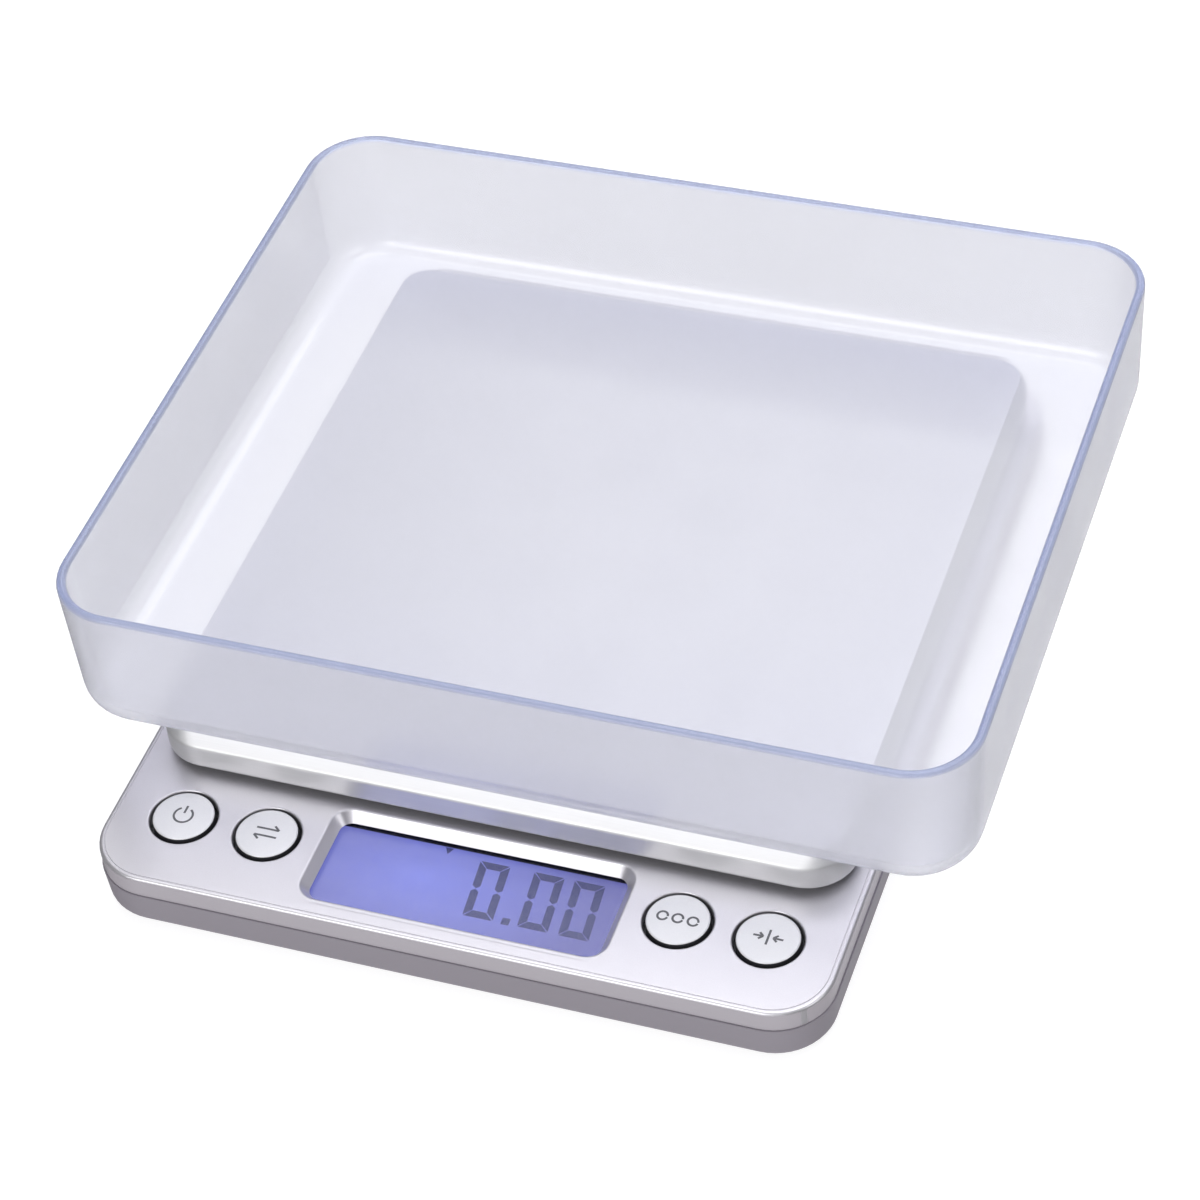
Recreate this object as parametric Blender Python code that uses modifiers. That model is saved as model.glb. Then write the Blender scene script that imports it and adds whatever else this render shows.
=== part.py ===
"""Compact kitchen scale with a loose clear tray, modelled as its separate sub-parts.

Metres, +Z up. The origin lies on the surface that the scale stands on, below the middle of the whole
object. The display and the buttons are on the -Y side. Everything is placed from the centre of the base,
which the empty "scale_base" carries.
"""

import math

import bmesh
import bpy
from mathutils import Matrix, Vector

MM = 0.001
GAP = 0.3 * MM

# Base: outline, corner radius and the levels of its shells above the surface.
BASE_SIZE, BASE_RADIUS = (107 * MM, 128.5 * MM), 8.7 * MM
BASE_BOTTOM, SEAM_LEVEL, FACE_LEVEL = 1.2 * MM, 6.8 * MM, 10.2 * MM
WALL, FLOOR_THICK, FACE_THICK = 1.8 * MM, 1.6 * MM, 1.6 * MM
UNDERCUT = 1.1 * MM
FLOOR_TOP = BASE_BOTTOM + FLOOR_THICK
FACE_UNDER = FACE_LEVEL - FACE_THICK

# Raised deck of the upper shell, hidden by the platform.
DECK_SIZE, DECK_RADIUS = (97 * MM, 98 * MM), 5 * MM
DECK_TOP, DECK_THICK = 15.2 * MM, 1.5 * MM
DECK_UNDER = DECK_TOP - DECK_THICK
STOP_TOP = 15.4 * MM

# Platform: the outlines of its skirt and its flat, and its levels. A slope joins the two outlines.
PLATFORM_Y = 9.7 * MM
PLATFORM_SIZE, PLATFORM_RADIUS = (102 * MM, 106.2 * MM), 7 * MM
FLAT_SIZE, PLATE_THICK = (100.2 * MM, 100 * MM), 0.8 * MM
SKIRT_BOTTOM, SLOPE_FOOT, PLATFORM_TOP = 11.4 * MM, 15.4 * MM, 18.0 * MM
CARRIER_LOW, CARRIER_TOP = 15.9 * MM, 16.9 * MM
CARRIER_SIZE = (96.4 * MM, 97.6 * MM)
POST_SIZE, POST_BOTTOM = (14 * MM, 11.4 * MM), 11.5 * MM

# Clear tray: outer sizes at its floor and its rim.
TRAY_X, TRAY_Y = 3.0 * MM, 9.2 * MM
TRAY_FLOOR = (130.8 * MM, 108.6 * MM)
TRAY_RIM = (131.6 * MM, 110.1 * MM)
TRAY_LOW, TRAY_HIGH = PLATFORM_TOP + GAP, 40.8 * MM
TRAY_RADIUS, TRAY_FILLET, TRAY_THICK = 10 * MM, 4.4 * MM, 1.4 * MM

# Display and controls, in the strip in front of the platform.
DISPLAY_Y = -52.55 * MM
OPENING_TOP, OPENING_FOOT = (44.8 * MM, 16.8 * MM), (42.4 * MM, 14.4 * MM)
BUTTON_Y, BUTTON_RADIUS, BUTTON_HOLE_RADIUS = -51.65 * MM, 4.5 * MM, 4.9 * MM
BUTTONS = {"power": -42.8 * MM, "mode": -30.1 * MM, "count": 30.1 * MM, "tare": 42.8 * MM}
BUTTON_TOP, CAP_BOTTOM, FLANGE_RADIUS = 10.6 * MM, 7.4 * MM, 5.6 * MM
BOARD_SIZE, BOARD_Y = (97 * MM, 18.5 * MM, 1.0 * MM), -52.25 * MM
BOARD_LOW = 3.6 * MM
BOARD_TOP = BOARD_LOW + BOARD_SIZE[2]
PARTS_LOW = BOARD_TOP + GAP

# Load cell: a bending beam along X, fixed at its left end and carrying the platform at its right end.
CELL_SIZE, CELL_LOW = (47 * MM, 12 * MM, 6 * MM), 5.2 * MM
CELL_TOP = CELL_LOW + CELL_SIZE[2]
CELL_HOLES = (14.5 * MM, 20.5 * MM)
CELL_HOLE_RADIUS = 1.6 * MM

# Battery bay: two AAA cells along X, loaded from below.
BATTERY_LENGTH, BATTERY_RADIUS = 44.5 * MM, 5.25 * MM
BATTERY_Y = (34.5 * MM, 45.5 * MM)
BATTERY_Z = 7.95 * MM
BAY_HALF_X, BAY_FRONT, BAY_BACK, BAY_WALL = 25.5 * MM, 26.6 * MM, 51.1 * MM, 1.2 * MM
DOOR_FRONT, DOOR_THICK = 29.2 * MM, 1.2 * MM
DOOR_SIZE = (50.4 * MM, 21.6 * MM)
HINGE_Y = DOOR_FRONT - GAP / 2
CONTACT_THICK = 0.4 * MM
SPRING_WIRE, SPRING_TURNS, SPRING_LENGTH = 0.3 * MM, 3, 3.6 * MM

# Fasteners and feet.
HOUSING_SCREWS = [(x * MM, y * MM) for y in (-31, 43) for x in (-42, 42)]
FEET = [(x * MM, y * MM) for y in (-54.5, 54.5) for x in (-43, 43)]
FOOT_RADIUS, FOOT_HEIGHT, FOOT_RECESS_TOP = 5 * MM, 1.5 * MM, 1.8 * MM
HEAD_LOW, HEAD_HIGH, HEAD_RECESS_TOP = 1.5 * MM, 2.9 * MM, 3.2 * MM
BOSS_RADIUS = 3.2 * MM

# Flat sides that stand for a round one.
TURN_STEPS, SCREW_STEPS, CORNER_STEPS = 24, 14, 5


# ---------------------------------------------------------------- scene and materials


def clear_scene():
    for obj in list(bpy.data.objects):
        bpy.data.objects.remove(obj)


def new_collection(name):
    made = bpy.data.collections.new(name)
    bpy.context.scene.collection.children.link(made)
    return made


def new_material(name, colour, roughness, metallic=0.0, alpha=1.0):
    made = bpy.data.materials.new(name)
    made.use_nodes = True
    shader = made.node_tree.nodes["Principled BSDF"]
    shader.inputs["Base Color"].default_value = (*colour, 1.0)
    shader.inputs["Roughness"].default_value = roughness
    shader.inputs["Metallic"].default_value = metallic
    shader.inputs["Alpha"].default_value = alpha
    made.diffuse_color = (*colour, alpha)
    return made


clear_scene()
PARTS = new_collection("kitchen_scale")
HELPERS = new_collection("cutters_and_joiners")

SILVER_PAINT = new_material("silver_paint", (0.60, 0.60, 0.66), 0.35, 0.3)
GREY_ABS = new_material("grey_abs", (0.33, 0.32, 0.34), 0.5)
DARK_ABS = new_material("dark_abs", (0.10, 0.10, 0.11), 0.5)
SILVER_PLATE = new_material("silver_plate", (0.62, 0.63, 0.66), 0.3, 0.6)
CLEAR_PLASTIC = new_material("clear_plastic", (0.85, 0.88, 0.95), 0.1, alpha=0.3)
WINDOW_ACRYLIC = new_material("window_acrylic", (0.8, 0.82, 0.95), 0.05, alpha=0.3)
LCD_GLASS = new_material("lcd_glass", (0.30, 0.32, 0.75), 0.2)
LIGHT_GUIDE = new_material("light_guide", (0.45, 0.45, 0.95), 0.4)
CAP_PLASTIC = new_material("cap_plastic", (0.66, 0.66, 0.70), 0.4)
BOARD_GREEN = new_material("board_green", (0.03, 0.20, 0.08), 0.5)
ALUMINIUM = new_material("aluminium", (0.70, 0.71, 0.73), 0.35, 1.0)
STEEL = new_material("steel", (0.55, 0.55, 0.56), 0.3, 1.0)
NICKEL = new_material("nickel", (0.68, 0.66, 0.62), 0.3, 1.0)
RUBBER = new_material("rubber", (0.04, 0.04, 0.04), 0.8)
WHITE_SILICONE = new_material("white_silicone", (0.85, 0.85, 0.83), 0.6)
BATTERY_SLEEVE = new_material("battery_sleeve", (0.06, 0.09, 0.16), 0.35)
WIRE_GREY = new_material("wire_grey", (0.35, 0.35, 0.36), 0.5)
WIRE_RED = new_material("wire_red", (0.55, 0.03, 0.03), 0.5)
WIRE_BLACK = new_material("wire_black", (0.02, 0.02, 0.02), 0.5)


# ---------------------------------------------------------------- shapes


def block(size, centre, radius=0.0, top=None, chamfer=None):
    """A box about `centre` as a bmesh, with its upright edges rounded to `radius`.

    `top` is the upper face's (x, y) size where it differs. `chamfer` is (-1 or 1, width, steps): it
    bevels the edges of the lower or the upper face.
    """
    shape = bmesh.new()
    bmesh.ops.create_cube(shape, size=1.0)
    bmesh.ops.scale(shape, vec=size, verts=shape.verts)
    if top:
        upper = [vert for vert in shape.verts if vert.co.z > 0]
        bmesh.ops.scale(shape, vec=(top[0] / size[0], top[1] / size[1], 1.0), verts=upper)
    if radius:
        upright = [e for e in shape.edges if abs(e.verts[0].co.z - e.verts[1].co.z) > size[2] / 2]
        bevel_edges(shape, upright, radius, CORNER_STEPS)
    if chamfer:
        side, width, steps = chamfer
        level = side * size[2] / 2
        rim = [e for e in shape.edges if all(abs(v.co.z - level) < 1e-7 for v in e.verts)]
        bevel_edges(shape, rim, width, steps)
    bmesh.ops.translate(shape, vec=centre, verts=shape.verts)
    return shape


def bevel_edges(shape, edges, width, steps):
    bmesh.ops.bevel(
        shape, geom=edges, offset=width, offset_type="OFFSET", segments=steps, profile=0.5, affect="EDGES"
    )


def slab(size, low, high, at=(0.0, 0.0), **options):
    """A block given by its (x, y) size, its lower and upper levels, and its centre in plan."""
    centre = (at[0], at[1], (low + high) / 2)
    return block((size[0], size[1], high - low), centre, **options)


def cylinder(radius, low, high, at=(0.0, 0.0), across=False):
    """An upright cylinder between two levels or, with `across`, one along Y about the point (x, z)."""
    shape = bmesh.new()
    bmesh.ops.create_cone(
        shape, cap_ends=True, segments=TURN_STEPS, radius1=radius, radius2=radius, depth=high - low
    )
    if across:
        lying = Matrix.Rotation(math.pi / 2, 3, "X")
        bmesh.ops.rotate(shape, cent=(0, 0, 0), matrix=lying, verts=shape.verts)
        move = (at[0], (low + high) / 2, at[1])
    else:
        move = (at[0], at[1], (low + high) / 2)
    bmesh.ops.translate(shape, vec=move, verts=shape.verts)
    return shape


def mesh_of(name, shapes):
    """One mesh that holds every bmesh in `shapes`; the bmeshes are freed."""
    whole = bmesh.new()
    for shape in shapes:
        piece = bpy.data.meshes.new("piece")
        shape.to_mesh(piece)
        shape.free()
        whole.from_mesh(piece)
        bpy.data.meshes.remove(piece)
    mesh = bpy.data.meshes.new(name)
    whole.to_mesh(mesh)
    whole.free()
    return mesh


def add_part(name, mesh, material, at=(0.0, 0.0, 0.0)):
    part = bpy.data.objects.new(name, mesh)
    mesh.materials.append(material)
    PARTS.objects.link(part)
    part.parent = BASE
    part.location = at
    return part


def add_helper(name, mesh):
    helper = bpy.data.objects.new(name, mesh)
    HELPERS.objects.link(helper)
    helper.parent = BASE
    helper.hide_render = True
    helper.display_type = "WIRE"
    return helper


def combine(part, operation, label, *shapes):
    """Joins shapes to a part or cuts them from it. The shapes of one call stand clear of each other."""
    name = f"{part.name}_{label}"
    boolean = part.modifiers.new(label, "BOOLEAN")
    boolean.operation = operation
    boolean.solver = "EXACT"
    boolean.object = add_helper(name, mesh_of(name, shapes))


def join(part, label, *shapes):
    combine(part, "UNION", label, *shapes)


def cut(part, label, *shapes):
    combine(part, "DIFFERENCE", label, *shapes)


def turned(name, profile, material, at=(0.0, 0.0, 0.0), steps=TURN_STEPS):
    """A turned part: `profile` lists (radius, height) down the outside, from the top to the bottom."""
    mesh = bpy.data.meshes.new(name)
    points = [(radius, 0.0, height) for radius, height in profile]
    mesh.from_pydata(points, [(i, i + 1) for i in range(len(points) - 1)], [])
    part = add_part(name, mesh, material, at)
    screw = part.modifiers.new("turn", "SCREW")
    screw.steps = steps
    screw.render_steps = steps
    screw.use_merge_vertices = True
    screw.merge_threshold = 0.00001
    screw.use_smooth_shade = True
    return part


def wire(name, points, radius, material):
    """A round wire through `points`, as a poly curve with filled caps."""
    curve = bpy.data.curves.new(name, "CURVE")
    curve.dimensions = "3D"
    curve.bevel_depth = radius
    curve.bevel_resolution = 2
    curve.use_fill_caps = True
    spline = curve.splines.new("POLY")
    spline.points.add(len(points) - 1)
    for target, point in zip(spline.points, points):
        target.co = (*point, 1.0)
    part = bpy.data.objects.new(name, curve)
    curve.materials.append(material)
    PARTS.objects.link(part)
    part.parent = BASE
    return part


def smooth_route(knots, steps=3):
    """Points on a Catmull-Rom curve through `knots`, `steps` to each span."""
    ends = [knots[0], *knots, knots[-1]]
    route = []
    for before, start, stop, after in zip(ends, ends[1:], ends[2:], ends[3:]):
        for step in range(steps):
            t = step / steps
            a, b, c, d = Vector(before), Vector(start), Vector(stop), Vector(after)
            square = 2 * a - 5 * b + 4 * c - d
            cube = 3 * b - a - 3 * c + d
            route.append(0.5 * (2 * b + (c - a) * t + square * t**2 + cube * t**3))
    route.append(Vector(knots[-1]))
    return route


def open_shell(part, thickness):
    """Gives an open surface its wall, inwards from the modelled face."""
    solidify = part.modifiers.new("wall", "SOLIDIFY")
    solidify.thickness = thickness
    solidify.offset = -1.0
    solidify.use_even_offset = True


def without_face(shape, direction):
    """Removes the flat face that closes a block at its top (1) or its bottom (-1)."""
    level = max(direction * vert.co.z for vert in shape.verts)
    ends = [f for f in shape.faces if all(abs(direction * v.co.z - level) < 1e-7 for v in f.verts)]
    bmesh.ops.delete(shape, geom=ends, context="FACES")
    return shape


# ---------------------------------------------------------------- housings


def make_top_housing():
    """Upper shell: face plate, side wall down to the seam, and the raised deck under the platform."""
    low = SEAM_LEVEL + GAP / 2
    outer = slab(BASE_SIZE, low, FACE_LEVEL, radius=BASE_RADIUS, chamfer=(1, 0.5 * MM, 1))
    part = add_part("top_housing", mesh_of("top_housing", [outer]), SILVER_PAINT)
    deck_at = (0.0, PLATFORM_Y)
    inside = [side - 2 * WALL for side in BASE_SIZE]
    deck_inside = [side - 2 * DECK_THICK for side in DECK_SIZE]
    deck = slab(DECK_SIZE, FACE_UNDER + MM, DECK_TOP, deck_at, radius=DECK_RADIUS)
    join(part, "deck", deck)
    cut(part, "inside", slab(inside, SEAM_LEVEL - MM, FACE_UNDER, radius=BASE_RADIUS - WALL))
    cut(
        part, "deck_inside",
        slab(deck_inside, FACE_UNDER - MM, DECK_UNDER, deck_at, radius=DECK_RADIUS - DECK_THICK),
    )
    boss_low, boss_high = HEAD_RECESS_TOP + 1.8 * MM, DECK_UNDER + 0.2 * MM
    join(part, "bosses", *[cylinder(BOSS_RADIUS, boss_low, boss_high, at) for at in HOUSING_SCREWS])
    cut(part, "screw_holes", *[cylinder(1.2 * MM, boss_low - MM, 11.5 * MM, at) for at in HOUSING_SCREWS])
    cut(
        part, "display_opening",
        slab(
            OPENING_FOOT, FACE_UNDER - 0.1 * MM, FACE_LEVEL + 0.1 * MM, (0, DISPLAY_Y),
            radius=1.6 * MM, top=OPENING_TOP,
        ),
    )
    low, high = FACE_UNDER - MM, FACE_LEVEL + MM
    holes = [cylinder(BUTTON_HOLE_RADIUS, low, high, (x, BUTTON_Y)) for x in BUTTONS.values()]
    cut(part, "button_holes", *holes)
    post_at = (sum(CELL_HOLES) / 2, PLATFORM_Y)
    post_hole = (POST_SIZE[0] + 3 * MM, POST_SIZE[1] + 3 * MM)
    cut(part, "post_hole", slab(post_hole, DECK_UNDER - MM, DECK_TOP + MM, post_at))
    stops = [(x * MM, PLATFORM_Y + y * MM) for x in (-40, 40) for y in (-40, 40)]
    join(part, "overload_stops", *[cylinder(2.5 * MM, DECK_TOP - 0.3 * MM, STOP_TOP, at) for at in stops])


def make_bottom_housing():
    """Lower shell: floor, side wall up to the seam, battery bay, load cell seat and screw bosses."""
    high = SEAM_LEVEL - GAP / 2
    outer = slab(BASE_SIZE, BASE_BOTTOM, high, radius=BASE_RADIUS, chamfer=(-1, UNDERCUT, 1))
    part = add_part("bottom_housing", mesh_of("bottom_housing", [outer]), GREY_ABS)
    inside = [side - 2 * WALL for side in BASE_SIZE]
    cut(part, "inside", slab(inside, FLOOR_TOP, SEAM_LEVEL + MM, radius=BASE_RADIUS - WALL))
    root = FLOOR_TOP - 0.2 * MM
    bay_size = (2 * BAY_HALF_X, BAY_BACK - BAY_FRONT)
    bay_at = (0.0, (BAY_FRONT + BAY_BACK) / 2)
    bay_outer = (bay_size[0] + 2 * BAY_WALL, bay_size[1] + 2 * BAY_WALL)
    seat_at = (-sum(CELL_HOLES) / 2, PLATFORM_Y)
    join(part, "bay_walls", slab(bay_outer, root, DECK_UNDER - GAP, bay_at))
    join(part, "cell_seat", slab((13 * MM, 13 * MM), root, CELL_LOW - GAP, seat_at))
    boss_top = HEAD_RECESS_TOP + 1.5 * MM
    join(part, "bosses", *[cylinder(BOSS_RADIUS, root, boss_top, at) for at in HOUSING_SCREWS])
    rests = [(x * MM, y * MM) for x in (-36.5, 36.5) for y in (-58, -46)]
    join(part, "board_rests", *[cylinder(2 * MM, root, BOARD_LOW - GAP, at) for at in rests])
    cut(part, "bay", slab(bay_size, FLOOR_TOP, DECK_UNDER + MM, bay_at))
    door_opening = (DOOR_SIZE[0] + 2 * GAP, DOOR_SIZE[1] + 2 * GAP)
    door_at = (0.0, DOOR_FRONT + DOOR_SIZE[1] / 2)
    cut(part, "door_opening", slab(door_opening, 0.0, FLOOR_TOP + MM, door_at))
    wall_x = -BAY_HALF_X - BAY_WALL / 2
    cut(part, "lead_slots", *[slab((3 * MM, 2.4 * MM), 9 * MM, 15 * MM, (wall_x, y)) for y in BATTERY_Y])
    cell_screws = [(-x, PLATFORM_Y) for x in CELL_HOLES]
    below = BASE_BOTTOM - MM
    cut(
        part, "screw_holes",
        *[cylinder(1.3 * MM, below, 6 * MM, at) for at in HOUSING_SCREWS],
        *[cylinder(CELL_HOLE_RADIUS, below, 6 * MM, at) for at in cell_screws],
    )
    cut(
        part, "head_recesses",
        *[cylinder(2.6 * MM, below, HEAD_RECESS_TOP, at) for at in HOUSING_SCREWS],
        *[cylinder(2.85 * MM, below, HEAD_RECESS_TOP, at) for at in cell_screws],
    )
    cut(part, "foot_recesses", *[cylinder(FOOT_RADIUS + GAP, below, FOOT_RECESS_TOP, at) for at in FEET])
    notch_at = (0.0, BAY_BACK + MM)
    cut(part, "finger_notch", slab((14 * MM, 5 * MM), below, BASE_BOTTOM + 0.8 * MM, notch_at))


def make_feet_and_housing_screws():
    edge = 0.4 * MM
    foot = [
        (0, FOOT_HEIGHT), (FOOT_RADIUS, FOOT_HEIGHT), (FOOT_RADIUS, edge), (FOOT_RADIUS - edge, 0), (0, 0)
    ]
    for number, (x, y) in enumerate(FEET, 1):
        turned(f"foot_{number}", foot, RUBBER, (x, y, 0))
    screw = screw_profile(2.2 * MM, 0.9 * MM, 10.5 * MM)
    for number, (x, y) in enumerate(HOUSING_SCREWS, 1):
        turned(f"housing_screw_{number}", screw, STEEL, (x, y, 0), SCREW_STEPS)


def screw_profile(head_radius, shank_radius, tip):
    """Profile of a screw driven from below: its head sits in the floor's recess, its tip is a cone."""
    return [
        (0, tip), (shank_radius * 0.4, tip), (shank_radius, tip - MM), (shank_radius, HEAD_HIGH),
        (head_radius, HEAD_HIGH), (head_radius, HEAD_LOW), (0, HEAD_LOW),
    ]


# ---------------------------------------------------------------- platform, load cell and tray


def make_platform_plate():
    """Weighing plate: flat top, slope and skirt, open below."""
    shell = slab(PLATFORM_SIZE, SKIRT_BOTTOM, SLOPE_FOOT, (0, PLATFORM_Y), radius=PLATFORM_RADIUS)
    raise_flat(shell)
    part = add_part("platform_plate", mesh_of("platform_plate", [without_face(shell, -1)]), SILVER_PLATE)
    open_shell(part, PLATE_THICK)


def raise_flat(shell):
    """Draws the skirt's upper face up to the platform's flat, smaller in plan, which leaves the slope."""
    level = max(vert.co.z for vert in shell.verts)
    ends = [face for face in shell.faces if all(abs(v.co.z - level) < 1e-7 for v in face.verts)]
    lid = bmesh.ops.extrude_discrete_faces(shell, faces=ends)["faces"]
    rim = [vert for face in lid for vert in face.verts]
    for vert in rim:
        vert.co.x *= FLAT_SIZE[0] / PLATFORM_SIZE[0]
        vert.co.y = PLATFORM_Y + (vert.co.y - PLATFORM_Y) * FLAT_SIZE[1] / PLATFORM_SIZE[1]
        vert.co.z = PLATFORM_TOP


def make_platform_carrier():
    """Frame that holds the plate, with a post down to the load cell's free end."""
    plate = slab(CARRIER_SIZE, CARRIER_LOW, CARRIER_TOP, (0, PLATFORM_Y), radius=5 * MM)
    part = add_part("platform_carrier", mesh_of("platform_carrier", [plate]), DARK_ABS)
    post_at = (sum(CELL_HOLES) / 2, PLATFORM_Y)
    join(part, "post", slab(POST_SIZE, POST_BOTTOM, CARRIER_LOW + 0.3 * MM, post_at))
    holes = [(x, PLATFORM_Y) for x in CELL_HOLES]
    above = CARRIER_TOP + MM
    cut(part, "screw_holes", *[cylinder(CELL_HOLE_RADIUS, POST_BOTTOM - MM, above, at) for at in holes])
    cut(part, "head_recesses", *[cylinder(2.8 * MM, 14.7 * MM, above, at) for at in holes])
    head_top = 16.4 * MM
    for number, x in enumerate(CELL_HOLES, 1):
        profile = [
            (0, head_top), (2.5 * MM, head_top), (2.5 * MM, 15 * MM), (1.3 * MM, 15 * MM),
            (1.3 * MM, 7.5 * MM), (0.6 * MM, 6.8 * MM), (0, 6.8 * MM),
        ]
        turned(f"carrier_screw_{number}", profile, STEEL, (x, PLATFORM_Y, 0), SCREW_STEPS)


def make_load_cell():
    """Aluminium beam with the joined cross holes that let it bend, its sealant and its screws."""
    beam = slab(CELL_SIZE[:2], CELL_LOW, CELL_TOP, (0, PLATFORM_Y))
    part = add_part("load_cell", mesh_of("load_cell", [beam]), ALUMINIUM)
    middle = (CELL_LOW + CELL_TOP) / 2
    ends = (PLATFORM_Y - 8 * MM, PLATFORM_Y + 8 * MM)
    cut(part, "cross_holes", *[cylinder(2.1 * MM, *ends, at=(x * MM, middle), across=True) for x in (-5, 5)])
    cut(part, "cross_slot", block((10 * MM, 16 * MM, 1.2 * MM), (0, PLATFORM_Y, middle)))
    spots = [(side * x, PLATFORM_Y) for side in (-1, 1) for x in CELL_HOLES]
    cut(part, "screw_holes", *[cylinder(CELL_HOLE_RADIUS, CELL_LOW - MM, CELL_TOP + MM, at) for at in spots])
    low = CELL_TOP + GAP
    sealant = slab((14 * MM, 8 * MM), low, low + 0.8 * MM, (0, PLATFORM_Y), chamfer=(1, 0.3 * MM, 1))
    add_part("gauge_sealant", mesh_of("gauge_sealant", [sealant]), WHITE_SILICONE)
    for number, x in enumerate(CELL_HOLES, 1):
        profile = screw_profile(2.5 * MM, 1.3 * MM, 9.5 * MM)
        turned(f"load_cell_screw_{number}", profile, STEEL, (-x, PLATFORM_Y, 0), SCREW_STEPS)


def make_tray():
    """Clear tray: a drafted open box with rounded corners and a rounded floor edge."""
    shell = slab(
        TRAY_FLOOR, TRAY_LOW, TRAY_HIGH, (TRAY_X, TRAY_Y),
        radius=TRAY_RADIUS, top=TRAY_RIM, chamfer=(-1, TRAY_FILLET, 3),
    )
    part = add_part("tray", mesh_of("tray", [without_face(shell, 1)]), CLEAR_PLASTIC)
    open_shell(part, TRAY_THICK)


# ---------------------------------------------------------------- display, board and buttons


def make_display():
    """Window under the face plate, then the LCD and its backlight in a frame on the board."""
    at = (0.0, DISPLAY_Y)
    window = slab((46 * MM, 18 * MM), 7.5 * MM, FACE_UNDER - GAP, at, radius=1.5 * MM)
    add_part("display_window", mesh_of("display_window", [window]), WINDOW_ACRYLIC)
    lcd = slab((44 * MM, 16 * MM), 5.8 * MM, 7.2 * MM, at)
    add_part("lcd_panel", mesh_of("lcd_panel", [lcd]), LCD_GLASS)
    light = slab((43 * MM, 12 * MM), PARTS_LOW, 5.5 * MM, (0, DISPLAY_Y + 1.6 * MM))
    add_part("backlight_panel", mesh_of("backlight_panel", [light]), LIGHT_GUIDE)
    strip = slab((42 * MM, 2 * MM), PARTS_LOW, 5.5 * MM, (0, DISPLAY_Y - 6.6 * MM))
    add_part("zebra_strip", mesh_of("zebra_strip", [strip]), RUBBER)
    ring = slab((47.4 * MM, 18.8 * MM), PARTS_LOW, 7.2 * MM, at, radius=1 * MM)
    frame = add_part("lcd_frame", mesh_of("lcd_frame", [ring]), DARK_ABS)
    cut(frame, "inside", slab((44.7 * MM, 16.7 * MM), PARTS_LOW - MM, 8.2 * MM, at))


def make_board():
    """Circuit board with the resin blob over its chip on the underside."""
    blank = slab(BOARD_SIZE[:2], BOARD_LOW, BOARD_TOP, (0, BOARD_Y), radius=4 * MM)
    part = add_part("main_board", mesh_of("main_board", [blank]), BOARD_GREEN)
    blob = cylinder(4.5 * MM, BOARD_LOW - 0.5 * MM, BOARD_LOW + 0.2 * MM, (6 * MM, BOARD_Y))
    join(part, "resin_blob", blob)


def make_buttons():
    """Each control is a cap with a flange, a plunger that moves with it and a switch on the board."""
    flange_top = FACE_UNDER - GAP
    edge = 0.3 * MM
    cap = [
        (0, BUTTON_TOP), (BUTTON_RADIUS - edge, BUTTON_TOP), (BUTTON_RADIUS, BUTTON_TOP - edge),
        (BUTTON_RADIUS, flange_top), (FLANGE_RADIUS, flange_top), (FLANGE_RADIUS, CAP_BOTTOM),
        (0, CAP_BOTTOM),
    ]
    plunger_high, plunger_low, plunger_radius = CAP_BOTTOM - GAP, 5.9 * MM, 1.6 * MM
    plunger = [
        (0, plunger_high), (plunger_radius, plunger_high), (plunger_radius, plunger_low), (0, plunger_low)
    ]
    for control, x in BUTTONS.items():
        turned(f"button_{control}", cap, CAP_PLASTIC, (x, BUTTON_Y, 0))
        turned(f"plunger_{control}", plunger, DARK_ABS, (x, BUTTON_Y, 0))
        body = slab((6 * MM, 6 * MM), PARTS_LOW, 6.6 * MM, (x, BUTTON_Y))
        switch = add_part(f"switch_{control}", mesh_of(f"switch_{control}", [body]), STEEL)
        cut(switch, "plunger_hole", cylinder(plunger_radius + GAP, 5.3 * MM, 7 * MM, (x, BUTTON_Y)))


# ---------------------------------------------------------------- batteries, contacts and leads


def make_batteries():
    """Two AAA cells, laid opposite ways, each as a turned can with its nub."""
    length, radius = BATTERY_LENGTH, BATTERY_RADIUS
    nub_radius, shoulder = 1.9 * MM, length - 0.8 * MM
    profile = [
        (0, length), (nub_radius, length), (nub_radius, shoulder), (radius - 0.6 * MM, shoulder),
        (radius, shoulder - 0.6 * MM), (radius, 0.4 * MM), (radius - 0.4 * MM, 0), (0, 0),
    ]
    nub_x = BAY_HALF_X - GAP - CONTACT_THICK - GAP
    for number, (y, side) in enumerate(zip(BATTERY_Y, (1, -1)), 1):
        at = (side * (nub_x - length), y, BATTERY_Z)
        cell = turned(f"battery_{number}", profile, BATTERY_SLEEVE, at)
        cell.rotation_euler = (0, side * math.pi / 2, 0)


def make_contacts():
    """Flat contacts on the bay's end walls and a conical spring for each cell's flat end."""
    face_x = BAY_HALF_X - GAP - CONTACT_THICK / 2
    middle_y = sum(BATTERY_Y) / 2
    plates = (
        ("contact_plate_negative", -face_x, BATTERY_Y[0], 8 * MM),
        ("contact_plate_positive", -face_x, BATTERY_Y[1], 8 * MM),
        ("contact_bridge", face_x, middle_y, 19 * MM),
    )
    for name, x, y, width in plates:
        add_part(name, mesh_of(name, [block((CONTACT_THICK, width, 8 * MM), (x, y, BATTERY_Z))]), NICKEL)
    spring_foot = face_x - CONTACT_THICK / 2 - GAP
    for number, (y, side) in enumerate(zip(BATTERY_Y, (-1, 1)), 1):
        wire(f"contact_spring_{number}", spring_points(side, spring_foot, y), SPRING_WIRE, NICKEL)


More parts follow.
